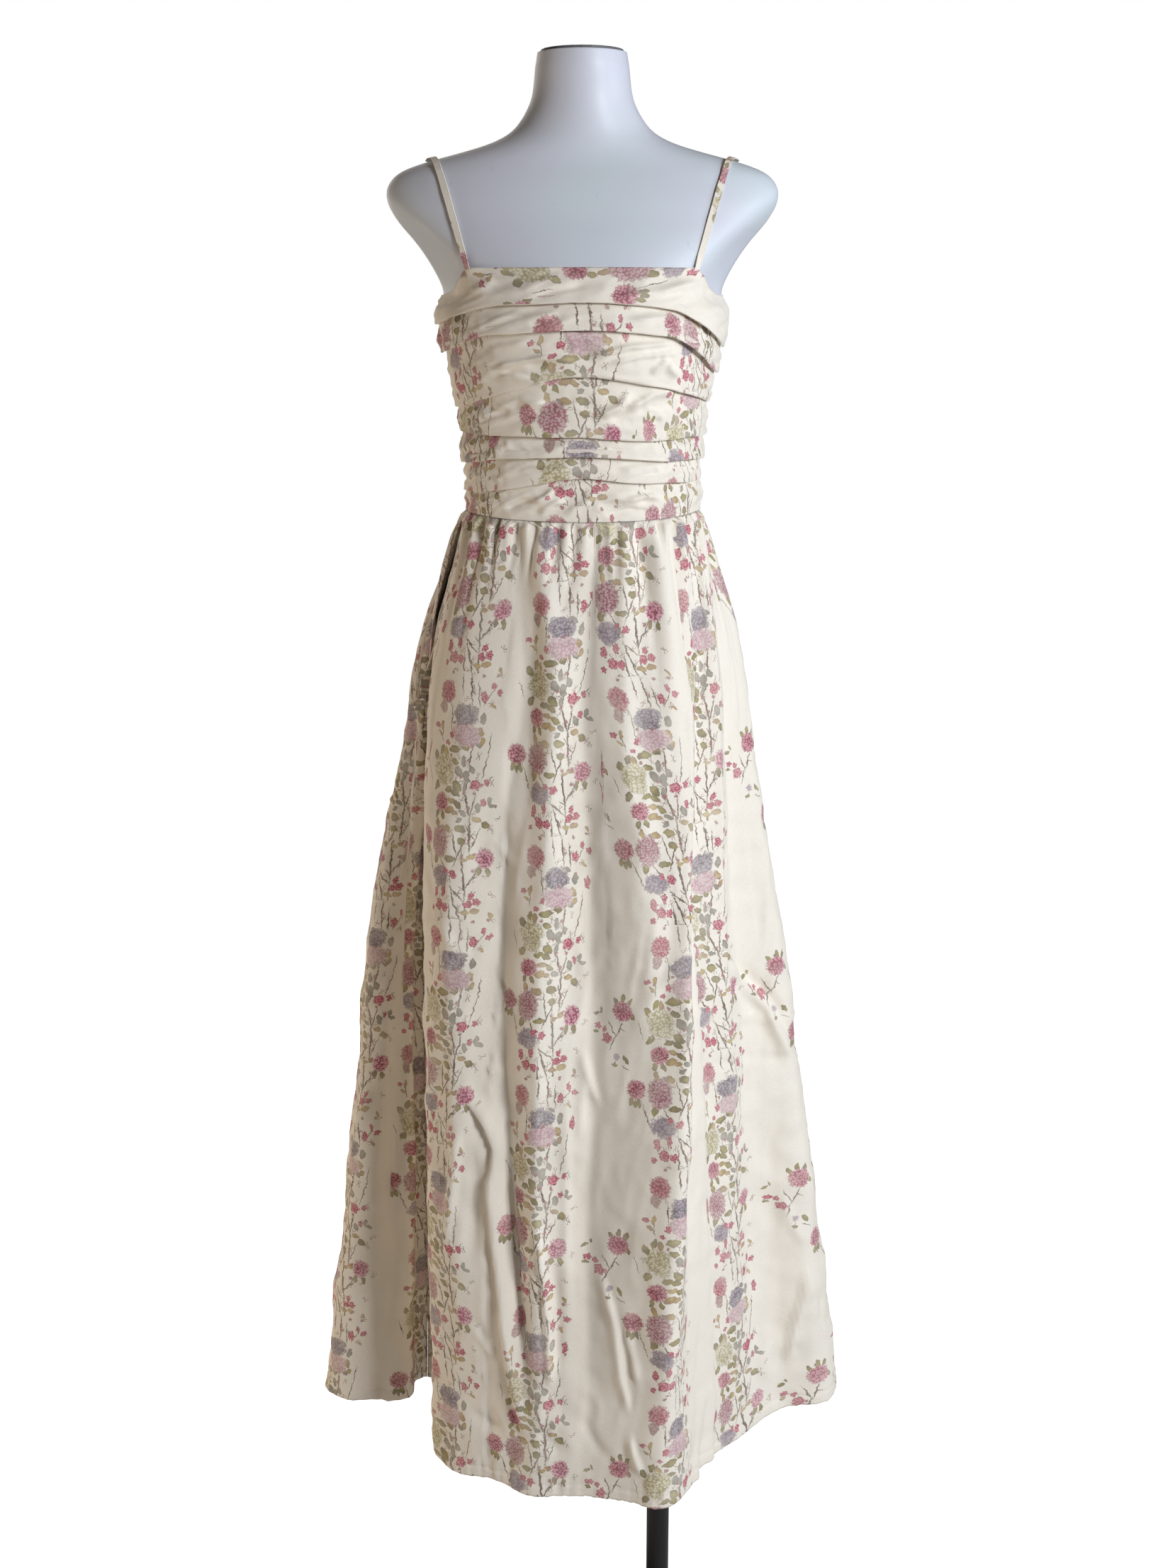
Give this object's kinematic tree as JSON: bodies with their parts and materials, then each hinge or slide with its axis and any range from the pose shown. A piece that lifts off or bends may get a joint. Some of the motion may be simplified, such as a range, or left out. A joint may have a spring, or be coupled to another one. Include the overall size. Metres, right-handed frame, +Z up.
{
  "type": "sundress on a dress form",
  "caption": "Long sundress with narrow straps, pleated bodice and gathered skirt, worn by a limbless dress form on a pole stand.",
  "frame": {"origin": "centre of the underside of the base plate", "axes": "+Z up along the dress form, the front of the dress faces -Y, +X is the viewer's right from the front"},
  "size_m": [0.6162, 0.4302, 1.8808],
  "materials": {
    "print_cloth": "matt ivory cotton with a printed floral vine pattern",
    "form_plastic": "glossy moulded plastic",
    "cap_plastic": "dull dark grey",
    "stand_steel": "black satin paint"
  },
  "bodies": {
    "root": {"form_torso": "form_plastic", "neck_cap": "cap_plastic", "base_plate": "stand_steel", "base_collar": "stand_steel", "pole": "stand_steel", "form_collar": "stand_steel", "bodice_front": "print_cloth", "bodice_back": "print_cloth", "strap_left": "print_cloth", "strap_right": "print_cloth", "skirt_front": "print_cloth", "skirt_back": "print_cloth"}
  },
  "joints": []
}
